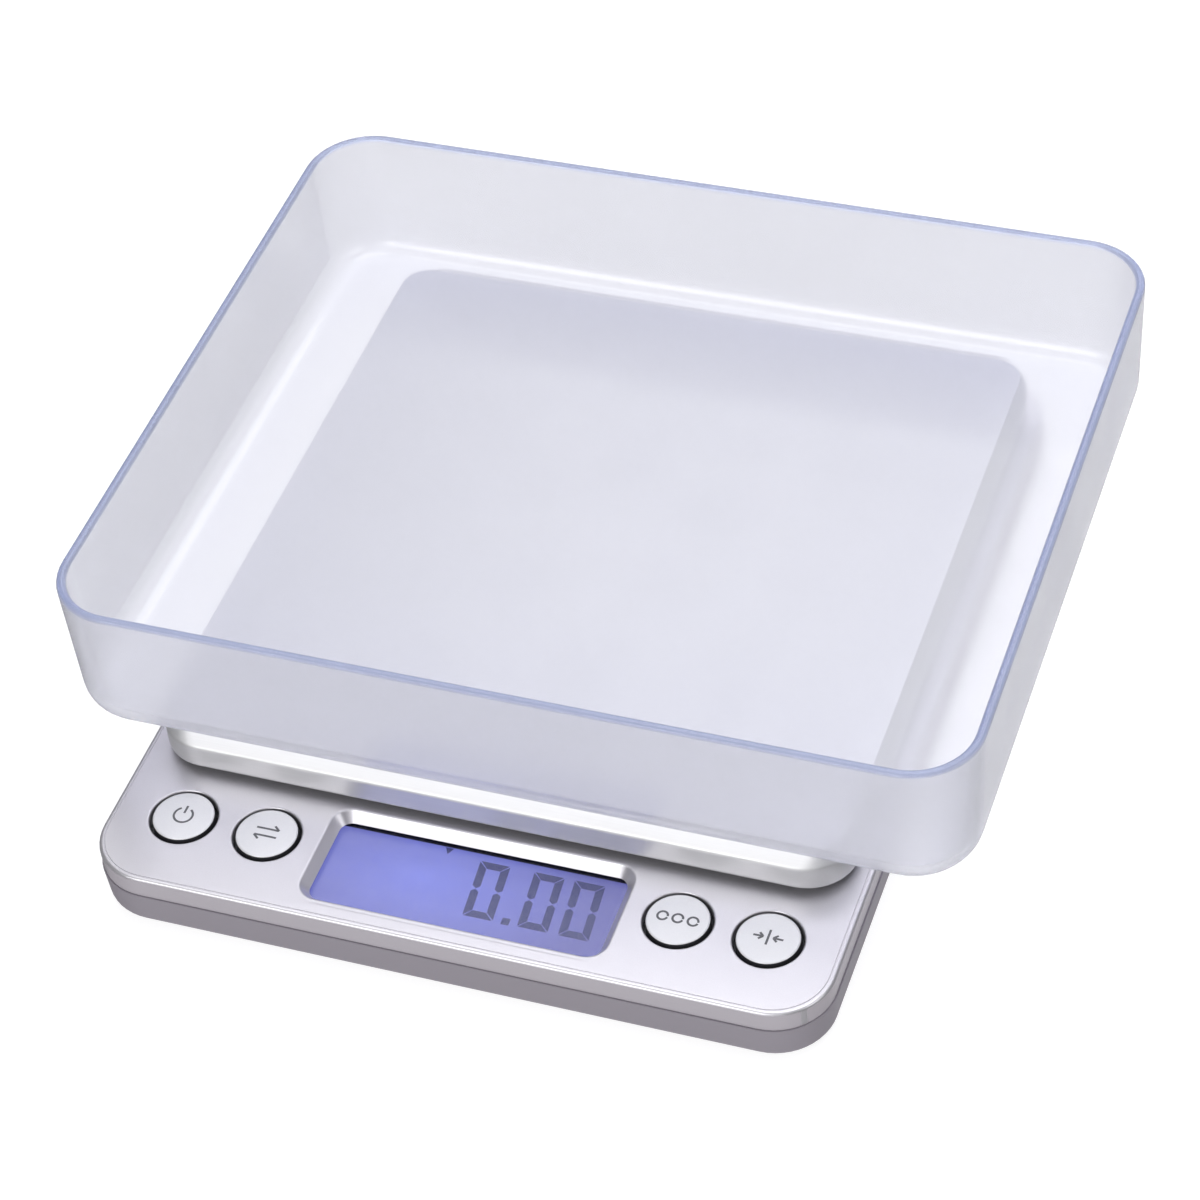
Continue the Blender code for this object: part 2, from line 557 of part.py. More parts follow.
def spring_points(side, foot, y):
    """A cone-shaped coil from the contact towards the cell: radius and place change evenly with turn."""
    steps = SPRING_TURNS * 10
    points = []
    for step in range(steps + 1):
        part = step / steps
        angle = 2 * math.pi * SPRING_TURNS * part
        radius = (3.6 - 1.6 * part) * MM
        x = side * (foot - SPRING_WIRE - SPRING_LENGTH * part)
        points.append((x, y + radius * math.cos(angle), BATTERY_Z + radius * math.sin(angle)))
    return points


def make_battery_door():
    """Door flush with the floor: two hooks at its front edge, where it hinges, and a latch at its back."""
    at = (0.0, HINGE_Y, BASE_BOTTOM)
    depth = DOOR_SIZE[1]
    front = DOOR_FRONT - HINGE_Y
    plate = slab(DOOR_SIZE, 0.0, DOOR_THICK, (0, front + depth / 2), radius=1 * MM)
    part = add_part("battery_door", mesh_of("battery_door", [plate]), GREY_ABS, at)
    riser_low, hook_low, hook_top = DOOR_THICK - 0.2 * MM, 1.9 * MM, 2.7 * MM
    risers = [slab((6 * MM, 1.2 * MM), riser_low, hook_top, (x * MM, front + 0.6 * MM)) for x in (-15, 15)]
    hooks = [slab((6 * MM, 2.6 * MM), hook_low, hook_top, (x * MM, front - 0.5 * MM)) for x in (-15, 15)]
    latch = slab((9 * MM, 1 * MM), riser_low, 3 * MM, (0, front + depth - 0.7 * MM))
    for label, shapes in (("risers", risers), ("hooks", hooks), ("latch", [latch])):
        join(part, label, *shapes)
        part.modifiers[label].object.location = at


def make_leads():
    """Leads to the board: one sleeve from the load cell and two from the battery contacts."""
    board_z = BOARD_TOP + GAP + 1 * MM
    lead_x = -BAY_HALF_X
    sleeve = [
        (-24.6 * MM, 8 * MM, 8 * MM), (-28 * MM, 3 * MM, 7.2 * MM), (-31 * MM, -10 * MM, 5 * MM),
        (-29 * MM, -26 * MM, 4.6 * MM), (-27.5 * MM, -38 * MM, 5.2 * MM), (-27 * MM, -44 * MM, board_z),
    ]
    wire("load_cell_wires", smooth_route(sleeve), 0.8 * MM, WIRE_GREY)
    for name, y, bend_x, material in (
        ("battery_lead_negative", BATTERY_Y[0], -33 * MM, WIRE_BLACK),
        ("battery_lead_positive", BATTERY_Y[1], -36 * MM, WIRE_RED),
    ):
        knots = [
            (lead_x, y, 11 * MM), (lead_x - 3 * MM, y, 10.6 * MM), (bend_x, y - 6 * MM, 6 * MM),
            (bend_x, 5 * MM, 4.4 * MM), (bend_x, -20 * MM, 4.4 * MM), (bend_x, -36 * MM, 4.8 * MM),
            (bend_x + MM, -44 * MM, board_z),
        ]
        wire(name, smooth_route(knots), 0.6 * MM, material)


# ---------------------------------------------------------------- assembly

BASE = bpy.data.objects.new("scale_base", None)
PARTS.objects.link(BASE)
BACK_EDGE = TRAY_Y + TRAY_RIM[1] / 2
BASE.location = (-TRAY_X, -(BACK_EDGE - BASE_SIZE[1] / 2) / 2, 0.0)

make_bottom_housing()
make_top_housing()
make_feet_and_housing_screws()
make_load_cell()
make_platform_carrier()
make_platform_plate()
make_tray()
make_board()
make_display()
make_buttons()
make_batteries()
make_contacts()
make_battery_door()
make_leads()
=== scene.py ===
"""Looks of a compact kitchen scale with a loose clear tray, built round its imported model.

Lengths are millimetres until a mesh is made, which turns them to metres. Levels are heights above the
surface the scale stands on. The display and the buttons are on the -Y side.
"""

import math

import bmesh
import bpy
import numpy as np
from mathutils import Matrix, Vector
from mathutils.geometry import tessellate_polygon


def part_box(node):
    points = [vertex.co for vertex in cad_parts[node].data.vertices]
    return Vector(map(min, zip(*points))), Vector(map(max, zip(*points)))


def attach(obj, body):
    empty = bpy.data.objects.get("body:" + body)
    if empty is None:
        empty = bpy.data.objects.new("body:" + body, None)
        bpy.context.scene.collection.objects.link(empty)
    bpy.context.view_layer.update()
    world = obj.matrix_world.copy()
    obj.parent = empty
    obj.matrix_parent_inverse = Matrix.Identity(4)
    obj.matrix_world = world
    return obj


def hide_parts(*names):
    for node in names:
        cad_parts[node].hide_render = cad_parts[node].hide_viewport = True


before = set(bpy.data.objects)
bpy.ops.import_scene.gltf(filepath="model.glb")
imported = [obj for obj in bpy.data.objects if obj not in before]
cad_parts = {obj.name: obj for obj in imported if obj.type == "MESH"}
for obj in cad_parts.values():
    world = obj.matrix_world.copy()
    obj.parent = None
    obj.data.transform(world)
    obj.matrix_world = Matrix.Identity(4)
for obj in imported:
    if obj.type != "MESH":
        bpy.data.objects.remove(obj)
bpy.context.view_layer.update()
MM = 0.001


# ---------------------------------------------------------------- lower shell
# Injection-moulded ABS tub in warm grey, spark-eroded on the outside. It carries the battery bay, the
# seat of the load cell and four screw posts, and the upper shell sits on its rim.


def middle_of(node):
    """The centre in plan of a CAD node's box, in millimetres."""
    low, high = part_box(node)
    return np.array(((low + high) / 2)[:2]) / MM


def filleted(points, radii, steps=5, lead=0.1):
    """A profile with its corners rounded. Each arc runs between the two tangent points as a conic whose
    middle weight is the sine of half the corner's angle, which makes it part of a circle. A lead point on
    each side keeps the straight runs flat when they are shaded smooth."""
    points = np.asarray(points, float)
    made = [points[:1]]
    share = np.linspace(0, 1, steps + 1)[:, None]
    for before, corner, after, radius in zip(points, points[1:], points[2:], radii):
        if not radius:
            made.append(corner[None])
            continue
        back = (before - corner) / np.linalg.norm(before - corner)
        ahead = (after - corner) / np.linalg.norm(after - corner)
        half = math.acos(np.clip(back @ ahead, -1, 1)) / 2
        reach = radius / math.tan(half)
        start, end = corner + back * reach, corner + ahead * reach
        weight = 2 * math.sin(half) * share * (1 - share)
        arc = (1 - share) ** 2 * start + weight * corner + share**2 * end
        arc /= (1 - share) ** 2 + weight + share**2
        made += [start[None] + back * lead, arc, end[None] + ahead * lead]
    made.append(points[-1:])
    return np.concatenate(made)


def outline(half_x, half_y, radius, turn=12, lead=0.3):
    """A rectangle with rounded corners in plan: each corner's centre plus the radius times the cosine and
    sine of an angle that turns a quarter per corner, with a lead point before and after each arc."""
    angle = np.linspace(0, math.pi / 2, turn + 1)
    arc = radius * np.column_stack([np.cos(angle), np.sin(angle)])
    arc = np.concatenate([arc[:1] - (0, lead), arc, arc[-1:] - (lead, 0)])
    centre = np.array([half_x - radius, half_y - radius])
    quarters = []
    for x, y, turned_arc in (
        (1, 1, arc),
        (-1, 1, arc[:, ::-1] * (-1, 1)),
        (-1, -1, -arc),
        (1, -1, arc[:, ::-1] * (1, -1)),
    ):
        quarters.append(turned_arc + centre * (x, y))
    return np.concatenate(quarters)


def carried(profile, half, radius, at, share=(1.0, 1.0), tightest=0.05):
    """A profile carried round a rounded rectangle: row i is the outline drawn in by profile[i, 0], at
    height profile[i, 1], so that the corner's radius shrinks with it. `share` scales the drawing in on
    the X and the Y sides."""
    rows = []
    for inset, height in profile:
        drawn = np.asarray(half) - inset * np.array(share)
        loop = outline(*drawn, max(radius - inset * max(share), tightest)) + at
        rows.append(np.column_stack([loop, np.full(len(loop), height)]))
    return np.stack(rows)


def turned(profile, at, steps=48):
    """A profile turned about an upright axis: row i is a circle of radius profile[i, 0] at height
    profile[i, 1]."""
    angle = np.arange(steps) * 2 * math.pi / steps
    radius, height = np.asarray(profile, float).T[:, :, None]
    x, y = at[0] + radius * np.cos(angle), at[1] + radius * np.sin(angle)
    return np.stack([x, y, height + 0 * angle], axis=2)


def upright(loop, *levels):
    """A plan outline repeated at each level, as rows for a plain wall."""
    return np.stack([np.column_stack([loop, np.full(len(loop), level)]) for level in levels])


def skin(rows):
    """The points of a grid whose rows close on themselves, and the four-sided faces between them."""
    deep, wide = rows.shape[:2]
    column = np.arange(wide)
    start = np.arange(deep - 1)[:, None] * wide
    here, beside = (start + column).ravel(), (start + (column + 1) % wide).ravel()
    return rows.reshape(-1, 3), np.column_stack([here, beside, beside + wide, here + wide]).tolist()


def cap(row):
    """One flat face that fills a row."""
    return row, [list(range(len(row)))]


def flat(*rows):
    """The flat region inside the first row and outside the others, as triangles."""
    loops = [[Vector(point) for point in row] for row in rows]
    return np.concatenate(rows), [list(face) for face in tessellate_polygon(loops)]


def make_piece(name, material, *surfaces, crease=38):
    """One mesh from surfaces in millimetres. Doubled points are merged, so the surfaces close on each
    other, and the faces are turned outwards. Edges sharper than `crease` degrees stay crisp."""
    points, faces, count = [], [], 0
    for these, corners in surfaces:
        points.append(these)
        faces += [[corner + count for corner in face] for face in corners]
        count += len(these)
    mesh = bpy.data.meshes.new(name)
    mesh.from_pydata(np.concatenate(points) * MM, [], faces)
    shape = bmesh.new()
    shape.from_mesh(mesh)
    bmesh.ops.remove_doubles(shape, verts=shape.verts, dist=0.001 * MM)
    bmesh.ops.recalc_face_normals(shape, faces=shape.faces)
    shape.to_mesh(mesh)
    shape.free()
    mesh.shade_smooth()
    mesh.set_sharp_from_angle(angle=math.radians(crease))
    mesh.materials.append(material)
    piece = bpy.data.objects.new(name, mesh)
    bpy.context.scene.collection.objects.link(piece)
    return piece


def place(piece, body, slot, *nodes):
    """Puts a piece on its body and lets it stand for CAD nodes, whose solids are hidden. `slot` is not used.
    """
    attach(piece, body)
    if nodes:
        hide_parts(*nodes)
    return piece


def linear(colour):
    """An sRGB hex colour as linear light: the curve's straight foot, then its 2.4 power."""
    value = np.array([int(colour[i : i + 2], 16) for i in (1, 3, 5)]) / 255
    light = np.where(value <= 0.04045, value / 12.92, ((value + 0.055) / 1.055) ** 2.4)
    return (*light, 1.0)


def add(tree, kind, values=(), links=(), **settings):
    """Adds a node with its settings, its input values and the sockets that feed its inputs."""
    node = tree.nodes.new(kind)
    for name, value in settings.items():
        setattr(node, name, value)
    for name, value in dict(values).items():
        node.inputs[name].default_value = value
    for name, source in dict(links).items():
        tree.links.new(source, node.inputs[name])
    return node


def new_finish(name, values):
    """A material whose one Principled shader starts from these values; returns it, its tree and shader."""
    material = bpy.data.materials.new(name)
    material.use_nodes = True
    shader = material.node_tree.nodes["Principled BSDF"]
    for socket, value in values.items():
        shader.inputs[socket].default_value = value
    return material, material.node_tree, shader


# The span of a noise value that holds nearly all of the surface.
noise_low, noise_high = 0.3, 0.7


def grained(name, dark, light, rough, grain, depth, stretch=(1, 1, 1), values=()):
    """A finish with an irregular grain: noise whose lumps are `grain` mm across mixes the two colours,
    moves the roughness between its two values and lifts the surface by up to `depth` mm. `stretch` draws
    the lumps out along the axes where it is small."""
    material, tree, shader = new_finish(name, dict(values))
    place_on = add(tree, "ShaderNodeTexCoord")
    drawn = add(
        tree, "ShaderNodeMapping", {"Scale": stretch}, {"Vector": place_on.outputs["Object"]}
    )
    noise = add(
        tree, "ShaderNodeTexNoise", {"Scale": 1 / (grain * MM), "Detail": 3.0},
        {"Vector": drawn.outputs["Vector"]},
    )
    mixed = add(
        tree, "ShaderNodeMix", {6: linear(dark), 7: linear(light)}, {0: noise.outputs["Fac"]},
        data_type="RGBA",
    )
    matt = add(
        tree, "ShaderNodeMapRange",
        {"From Min": noise_low, "From Max": noise_high, "To Min": rough[0], "To Max": rough[1]},
        {"Value": noise.outputs["Fac"]},
    )
    lift = add(
        tree, "ShaderNodeBump", {"Strength": 1.0, "Distance": depth * MM},
        {"Height": noise.outputs["Fac"]},
    )
    tree.links.new(mixed.outputs[2], shader.inputs["Base Color"])
    tree.links.new(matt.outputs["Result"], shader.inputs["Roughness"])
    tree.links.new(lift.outputs["Normal"], shader.inputs["Normal"])
    return material


base_at = middle_of("bottom_housing")
base_half, base_radius = np.array([53.5, 64.25]), 8.7
wall, floor_low, floor_top, seam = 1.8, 1.2, 2.8, 6.74

# Moulded ABS with a fine spark-eroded grain: a soft sheen with no mirror image, slightly warm.
grey_abs = grained(
    "grey_abs_spark_eroded", "#86808A", "#8E8991", (0.42, 0.55), 0.3, 0.004, values={"IOR": 1.53}
)

shell_profile = filleted(
    [(3.4, floor_low), (0.35, floor_low), (0.0, seam), (wall, seam), (wall, floor_top), (2.6, floor_top)],
    [1.1, 0.1, 0.15, 0.3],
)
shell_rows = carried(shell_profile, base_half, base_radius, base_at)
bay_half_x, bay_front, bay_back = 25.5, 26.6, 51.1
door_front, notch_half, notch_back, notch_top = 28.9, 7.0, 54.6, 2.0
opening = base_at + np.array(
    [
        (-notch_half, bay_back), (-bay_half_x, bay_back), (-bay_half_x, door_front),
        (bay_half_x, door_front), (bay_half_x, bay_back), (notch_half, bay_back),
    ]
)
notch = base_at + np.array([(notch_half, notch_back), (-notch_half, notch_back)])
bay = base_at + np.array(
    [
        (-notch_half, bay_back), (-bay_half_x, bay_back), (-bay_half_x, door_front),
        (-bay_half_x, bay_front), (bay_half_x, bay_front), (bay_half_x, door_front),
        (bay_half_x, bay_back), (notch_half, bay_back),
    ]
)
bay_top, bay_wall, bay_outer_half_y = 13.4, 1.2, 13.45
bay_outer = (
    base_at + [0, (bay_front + bay_back) / 2] + outline(bay_half_x + bay_wall, bay_outer_half_y, 0.6, turn=2)
)
cell_x, cell_y = (14.5, 20.5), 9.7
head_stop, seat_top = 3.2, 4.9
seat = base_at + [-17.5, cell_y] + outline(6.5, 6.5, 0.8, turn=3)
posts = [base_at + (x, y) for y in (-31, 43) for x in (-42, 42)]
feet = [base_at + (x, y) for y in (-54.5, 54.5) for x in (-43, 43)]
post_profile = filleted(
    [(3.0, floor_low), (2.6, floor_low), (2.6, head_stop), (1.3, head_stop), (1.3, 4.7), (3.2, 4.7),
     (3.2, floor_top)],
    [0.15, 0, 0, 0.1, 0.15],
    steps=3, lead=0.03,
)
foot_recess = filleted([(5.7, floor_low), (5.3, floor_low), (5.3, 1.8)], [0.15], steps=3, lead=0.03)
cell_recess = filleted(
    [(3.0, floor_low), (2.85, floor_low), (2.85, head_stop), (1.6, head_stop), (1.6, seat_top)],
    [0.1, 0, 0], steps=2, lead=0.02,
)
post_rows = [turned(post_profile, at) for at in posts]
foot_rows = [turned(foot_recess, at) for at in feet]
cell_rows = [turned(cell_recess, base_at + (-x, cell_y), 32) for x in cell_x]
mouth = upright(np.concatenate([opening, notch]), floor_low, notch_top)
throat = upright(opening, notch_top, floor_top)
bay_inside, bay_outside = upright(bay, floor_top, bay_top), upright(bay_outer, bay_top, floor_top)
seat_side = upright(seat, floor_top, seat_top)
ledge = upright(bay[2:6], floor_top)[0]
notch_ceiling = upright(np.concatenate([opening[-1:], notch, opening[:1]]), notch_top)[0]
lower_shell = make_piece(
    "lower_shell", grey_abs,
    skin(shell_rows), skin(mouth), skin(throat), skin(bay_inside), skin(bay_outside), skin(seat_side),
    *[skin(rows) for rows in (*post_rows, *foot_rows, *cell_rows)],
    *[cap(rows[-1]) for rows in foot_rows],
    cap(ledge), cap(notch_ceiling),
    flat(shell_rows[0], mouth[0], *[rows[0] for rows in (*post_rows, *foot_rows, *cell_rows)]),
    flat(shell_rows[-1], bay_outside[-1], seat_side[0], *[rows[-1] for rows in post_rows]),
    flat(bay_outside[0], bay_inside[-1]),
    flat(seat_side[-1], *[rows[-1] for rows in cell_rows]),
)
place(lower_shell, "base", "grey_abs", "bottom_housing")


# ---------------------------------------------------------------- upper shell
# ABS moulding sprayed in satin silver. One piece forms the face plate, the short side wall and the
# raised deck that stops the platform when it is overloaded. Four screws from below hold it.

face_at, face_level, face_under = base_at, 10.2, 8.6
deck_at, deck_half, deck_radius = base_at + (0, 9.7), np.array([48.5, 49.0]), 5.0
deck_top, deck_under, deck_wall = 15.2, 13.7, 1.5
window_at, window_half, window_radius = base_at + (0, -52.55), np.array([22.4, 8.4]), 3.0
button_at = {name: middle_of(f"button_{name}") for name in ("power", "mode", "count", "tare")}

# Satin silver lacquer with fine metal flakes: nearly white where it faces the light, grey where it turns
# away, with a faint cool cast. The real flakes are far below 0.1 mm, so they are drawn at 0.14 mm.
flake_share = 0.72
silver_lacquer = grained(
    "satin_silver_lacquer", "#D2D0D5", "#DFDDE2", (0.28, 0.36), 0.14, 0.0012,
    values={"Metallic": flake_share, "IOR": 1.5},
)


def sprayed_above(material, level, bare_or_painted_shade, metallic, keep=None):
    """Keeps a sprayed finish above a level in millimetres: below it the colour is the one given, which is
    bare plastic on the face plate's side and painted shade on the buttons' sides, and the metallic share
    is nought. A step on the object's Z makes the mask. With `keep`, a centre and half sizes in plan, all
    of the part inside that rectangle is sprayed as well."""
    tree = material.node_tree
    shader = tree.nodes["Principled BSDF"]
    sprayed_colour = shader.inputs["Base Color"].links[0].from_socket
    spot = add(tree, "ShaderNodeTexCoord")
    height = add(tree, "ShaderNodeSeparateXYZ", (), {"Vector": spot.outputs["Object"]})
    sprayed = add(
        tree, "ShaderNodeMath", {1: level * MM}, {0: height.outputs["Z"]}, operation="GREATER_THAN"
    )
    if keep:
        inside = []
        for axis, centre, half in zip("XY", *keep):
            offset = add(
                tree, "ShaderNodeMath", {1: centre * MM}, {0: height.outputs[axis]}, operation="SUBTRACT"
            )
            reach = add(tree, "ShaderNodeMath", (), {0: offset.outputs[0]}, operation="ABSOLUTE")
            inside.append(
                add(tree, "ShaderNodeMath", {1: half * MM}, {0: reach.outputs[0]}, operation="LESS_THAN")
            )
        both = add(
            tree, "ShaderNodeMath", (), {0: inside[0].outputs[0], 1: inside[1].outputs[0]},
            operation="MULTIPLY",
        )
        sprayed = add(
            tree, "ShaderNodeMath", (), {0: sprayed.outputs[0], 1: both.outputs[0]}, operation="MAXIMUM"
        )
    colour = add(
        tree, "ShaderNodeMix", {6: linear(bare_or_painted_shade)}, {0: sprayed.outputs[0], 7: sprayed_colour},
        data_type="RGBA",
    )
    share = add(tree, "ShaderNodeMath", {1: metallic}, {0: sprayed.outputs[0]}, operation="MULTIPLY")
    tree.links.new(colour.outputs[2], shader.inputs["Base Color"])
    tree.links.new(share.outputs[0], shader.inputs["Metallic"])


# The spray is masked at the rounded edge: the side below it is bare grey ABS like the lower shell. It
# runs down into the display recess and the button holes.
spray_edge, spray_half = 9.82, (51.0, 62.0)
sprayed_above(silver_lacquer, spray_edge, "#AAA5AC", flake_share, keep=(face_at, spray_half))

upper_profile = filleted(
    [(2.6, face_level), (1.05, face_level), (1.0, face_level - 0.12), (0.9, face_level - 0.12),
     (0.85, face_level), (0.15, face_level), (0.22, seam + 0.05), (wall, seam + 0.05), (wall, face_under),
     (2.6, face_under)],
    [0.02, 0, 0, 0.02, 0.5, 0.05, 0.1, 0.2], lead=0.03,
)
upper_rows = carried(upper_profile, base_half, base_radius, face_at)
deck_profile = filleted(
    [(-0.6, face_level), (0.0, face_level), (0.15, deck_top), (1.6, deck_top)], [0.3, 0.6], lead=0.05
)
deck_rows = carried(deck_profile, deck_half, deck_radius, deck_at)
deck_inside = filleted(
    [(1.2, face_under), (deck_wall, face_under), (deck_wall, deck_under), (2.4, deck_under)],
    [0.1, 0.2], lead=0.05,
)
deck_inside_rows = carried(deck_inside, deck_half, deck_radius, deck_at)
window_profile = filleted(
    [(-0.75, face_level), (0.0, face_level), (1.2, face_under), (0.6, face_under)],
    [0.45, 0], steps=6, lead=0.06,
)
window_rows = carried(window_profile, window_half, window_radius, window_at)
button_profile = filleted([(5.5, face_level), (4.9, face_level), (4.9, face_under)], [0.28], lead=0.05)
button_rows = [turned(button_profile, at, 64) for at in button_at.values()]
stop_top = deck_top + 0.2
stop_profile = filleted([(2.5, deck_top), (2.5, stop_top), (2.1, stop_top)], [0.1], steps=2, lead=0.02)
stop_rows = [turned(stop_profile, deck_at + (x, y), 32) for y in (-40, 40) for x in (-40, 40)]
upper_post = [(3.2, deck_under), (3.2, 5.0), (1.2, 5.0), (1.2, 11.5)]
upper_post_rows = [turned(upper_post, at, 32) for at in posts]
post_hole = upright(deck_at + [17.5, 0] + outline(8.5, 7.2, 0.8, turn=3), deck_under, deck_top)
upper_shell = make_piece(
    "upper_shell", silver_lacquer,
    *[skin(rows) for rows in (upper_rows, deck_rows, deck_inside_rows, window_rows, post_hole)],
    *[skin(rows) for rows in (*button_rows, *stop_rows, *upper_post_rows)],
    *[cap(rows[-1]) for rows in (*stop_rows, *upper_post_rows)],
    flat(upper_rows[0], deck_rows[0], window_rows[0], *[rows[0] for rows in button_rows]),
    flat(upper_rows[-1], deck_inside_rows[0], window_rows[-1], *[rows[-1] for rows in button_rows]),
    flat(deck_rows[-1], post_hole[-1], *[rows[0] for rows in stop_rows]),
    flat(deck_inside_rows[-1], post_hole[0], *[rows[0] for rows in upper_post_rows]),
)
place(upper_shell, "base", "face_paint", "top_housing")


# ---------------------------------------------------------------- display
# A clear acrylic window glued under the face plate, and below it the LCD on its violet-blue backlight.
# The digits are dark segments in the glass, with one small marker above them.

window_low, window_high = 7.5, 8.3

# Cast acrylic: clear, glossy and colourless. Lamps shine through it, so its shadow is left out.
acrylic, tree, shader = new_finish(
    "clear_acrylic",
    {"Base Color": linear("#F4F4FA"), "Roughness": 0.04, "IOR": 1.49, "Transmission Weight": 1.0},
)


def let_lamps_through(tree, shader, tint):
    """Makes a clear material cast only a tinted shadow: for a shadow ray the shader gives way to a
    transparent one."""
    ray = add(tree, "ShaderNodeLightPath")
    clear = add(tree, "ShaderNodeBsdfTransparent", {"Color": tint})
    either = add(
        tree, "ShaderNodeMixShader", (),
        {0: ray.outputs["Is Shadow Ray"], 1: shader.outputs["BSDF"], 2: clear.outputs["BSDF"]},
    )
    tree.links.new(either.outputs["Shader"], tree.nodes["Material Output"].inputs["Surface"])


let_lamps_through(tree, shader, linear("#F4F4FA"))

pane_profile = filleted(
    [(1.0, window_low), (0, window_low), (0, window_high), (1.0, window_high)],
    [0.12, 0.12], steps=3, lead=0.05,
)
pane_rows = carried(pane_profile, (23.0, 9.0), 1.5, window_at)
display_pane = make_piece("display_pane", acrylic, skin(pane_rows), cap(pane_rows[0]), cap(pane_rows[-1]))
place(display_pane, "base", "window_acrylic", "display_window")

lcd_low, lcd_high = 5.8, 7.2
lcd_half, painted_shade_from = np.array([22.0, 8.0]), window_at[1] + 7.3

# LCD glass over an edge-lit light guide: an even violet-blue glow, brightest left of the middle and
# fading towards the right end, with a little polariser grain.
lcd_glass, tree, shader = new_finish(
    "backlit_lcd_glass", {"Base Color": linear("#121320"), "Roughness": 0.35, "IOR": 1.5}
)
glow_shift, glow_x, glow_y = (-7, 1), 26, 15
coordinates = add(tree, "ShaderNodeTexCoord")
centred = add(
    tree, "ShaderNodeMapping",
    {
        "Location": (*(-(window_at + glow_shift) / (glow_x, glow_y)), 0),
        "Scale": (1 / (glow_x * MM), 1 / (glow_y * MM), 0),
    },
    {"Vector": coordinates.outputs["Object"]},
)
spread = add(
    tree, "ShaderNodeTexGradient", (), {"Vector": centred.outputs["Vector"]}, gradient_type="SPHERICAL"
)
glow = add(
    tree, "ShaderNodeMix", {6: linear("#6668AE"), 7: linear("#7A84E2")}, {0: spread.outputs["Fac"]},
    data_type="RGBA",
)
grit = add(
    tree, "ShaderNodeTexNoise", {"Scale": 1 / (2.5 * MM), "Detail": 2.0},
    {"Vector": coordinates.outputs["Object"]},
)
even = add(
    tree, "ShaderNodeMapRange", {"To Min": 0.94, "To Max": 1.06}, {"Value": grit.outputs["Fac"]}
)
# Painted shade: the glass does not glow behind its lit area, so a dark strip runs along its back edge where
# the recess wall and the gap under the window's edge shade it.
spot = add(tree, "ShaderNodeSeparateXYZ", (), {"Vector": coordinates.outputs["Object"]})
lit = add(tree, "ShaderNodeMath", {1: painted_shade_from * MM}, {0: spot.outputs["Y"]}, operation="LESS_THAN")
shone = add(
    tree, "ShaderNodeMath", (), {0: even.outputs["Result"], 1: lit.outputs[0]}, operation="MULTIPLY"
)
tree.links.new(glow.outputs[2], shader.inputs["Emission Color"])
tree.links.new(shone.outputs[0], shader.inputs["Emission Strength"])

glass_profile = filleted(
    [(1.0, lcd_low), (0, lcd_low), (0, lcd_high), (1.0, lcd_high)], [0.05, 0.05], steps=2, lead=0.03
)
glass_rows = carried(glass_profile, lcd_half, 0.3, window_at)
lcd = make_piece("lcd", lcd_glass, skin(glass_rows), cap(glass_rows[0]), cap(glass_rows[-1]))
place(lcd, "base", "lcd_glass", "lcd_panel")
# The lit glass is hidden from glossy rays, and so are its digits below.
lcd.visible_glossy = False

# Energised liquid crystal: dark blue against the glow, with a trace of it coming through.
segment_ink, _, _ = new_finish(
    "lcd_segment_dark",
    {
        "Base Color": linear("#14183A"), "Roughness": 0.6,
        "Emission Color": linear("#1C2460"), "Emission Strength": 1.0,
    },
)

digit_width, digit_height, stroke, lean = 4.4, 9.8, 1.15, -0.09
segment_foot, segment_top = lcd_high + 0.01, lcd_high + 0.05


def slab_of(loop, low, high):
    """A flat plate with this plan outline between two levels."""
    rows = upright(loop, low, high)
    return [skin(rows), cap(rows[0]), cap(rows[-1])]


def zero(at):
    """The six lit segments of a nought. Each is a bar with slanted ends; the whole leans by a shear of x
    with y."""
    half_w, half_h, gap = digit_width / 2, digit_height / 2, 0.07
    inner_w, middle = half_w - stroke, gap
    top = np.array(
        [
            (-half_w + gap * 2, half_h), (half_w - gap * 2, half_h),
            (inner_w - gap, half_h - stroke), (-inner_w + gap, half_h - stroke),
        ]
    )
    side = np.array(
        [
            (half_w, half_h - gap * 2), (half_w, stroke * 0.4 + middle), (half_w - stroke * 0.5, middle),
            (inner_w, stroke * 0.4 + middle), (inner_w, half_h - stroke - gap),
        ]
    )
    bars = [top, top * (1, -1), side, side * (-1, 1), side * (1, -1), side * (-1, -1)]
    return [bar + np.outer(bar[:, 1], (lean, 0)) + at for bar in bars]


digit_y = base_at[1] - 51.4
digit_columns = (2.2, 10.15, 16.05)
bars = [bar for x in digit_columns for bar in zero((base_at[0] + x, digit_y))]
dot_at = np.array([base_at[0] + 6.6, base_at[1] - 55.9])
bars.append(dot_at + 0.5 * stroke * np.array([(-1, -1), (1, -1), (1, 1), (-1, 1)]))
marker_at = np.array([base_at[0] - 5.4, base_at[1] - 45.9])
bars.append(marker_at + np.array([(-0.6, 0.5), (0.6, 0.5), (0, -0.6)]))
segments = [surface for bar in bars for surface in slab_of(bar, segment_foot, segment_top)]
lcd_digits = make_piece("lcd_digits", segment_ink, *segments)
place(lcd_digits, "base", "lcd_glass")
lcd_digits.visible_glossy = False


# ---------------------------------------------------------------- buttons
# Four round ABS caps, each held under the face plate by its flange. The marks are engraved and filled
# in grey; they are plain signs: on/off, change over, count of pieces, and return to zero.

cap_radius, cap_top, flange_radius, flange_low, flange_top = 4.42, 10.62, 5.6, 7.4, 8.3
crown, mark_width, mark_lift = 0.010, 0.32, 0.012

# Moulded ABS, lacquered a shade lighter than the face plate, with a soft sheen.
cap_flake_share = 0.25
cap_plastic = grained(
    "satin_cap_plastic", "#E0E0E3", "#E9E9EB", (0.32, 0.40), 0.2, 0.001,
    values={"Metallic": cap_flake_share, "IOR": 1.5},
)
# Only the top is lacquered; below it the side of a cap, down inside its hole, is painted near black as
# painted shade of the hole.
cap_painted_shade_top = 10.3
sprayed_above(cap_plastic, cap_painted_shade_top, "#2E2E31", cap_flake_share)
